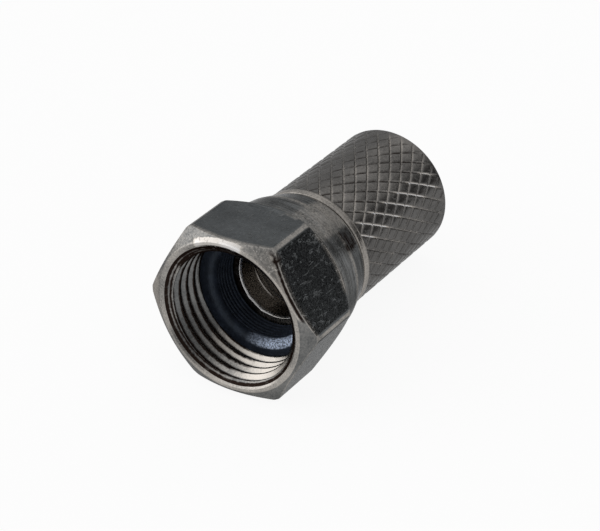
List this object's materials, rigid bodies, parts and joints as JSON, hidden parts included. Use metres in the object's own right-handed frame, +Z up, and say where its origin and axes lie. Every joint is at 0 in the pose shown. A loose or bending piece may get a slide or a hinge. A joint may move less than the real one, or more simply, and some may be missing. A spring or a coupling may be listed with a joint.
{
  "type": "f connector",
  "caption": "Twist-on coaxial cable plug: a hexagonal coupling nut with an internal thread turns freely on a knurled sleeve, with a rubber seal ring inside the nut.",
  "frame": {"origin": "centre of the mouth of the coupling nut, on the connector's axis", "axes": "+X runs along the axis from the mouth of the nut to the cable end of the sleeve; +Z is up, square to the hex flat that lies uppermost, with the opposite flat lying below on the surface"},
  "size_m": [0.0201, 0.0124, 0.011],
  "materials": {
    "nut_plating": "dark nickel plate over brass, satin, brighter and warmer on the worn edges",
    "sleeve_plating": "dark nickel plate over brass, diamond knurl with burnished groove edges",
    "seal_rubber": "smooth blue-black rubber with fine moulded rings"
  },
  "bodies": {
    "sleeve": {"body": "sleeve_plating"},
    "nut": {"coupling_nut": "nut_plating", "seal_ring": "seal_rubber"}
  },
  "joints": [
    {"name": "nut_swivel", "type": "hinge", "parent": "sleeve", "child": "nut", "pos_m": [0.0079, 0, 0], "axis": [1, 0, 0], "continuous": true}
  ]
}
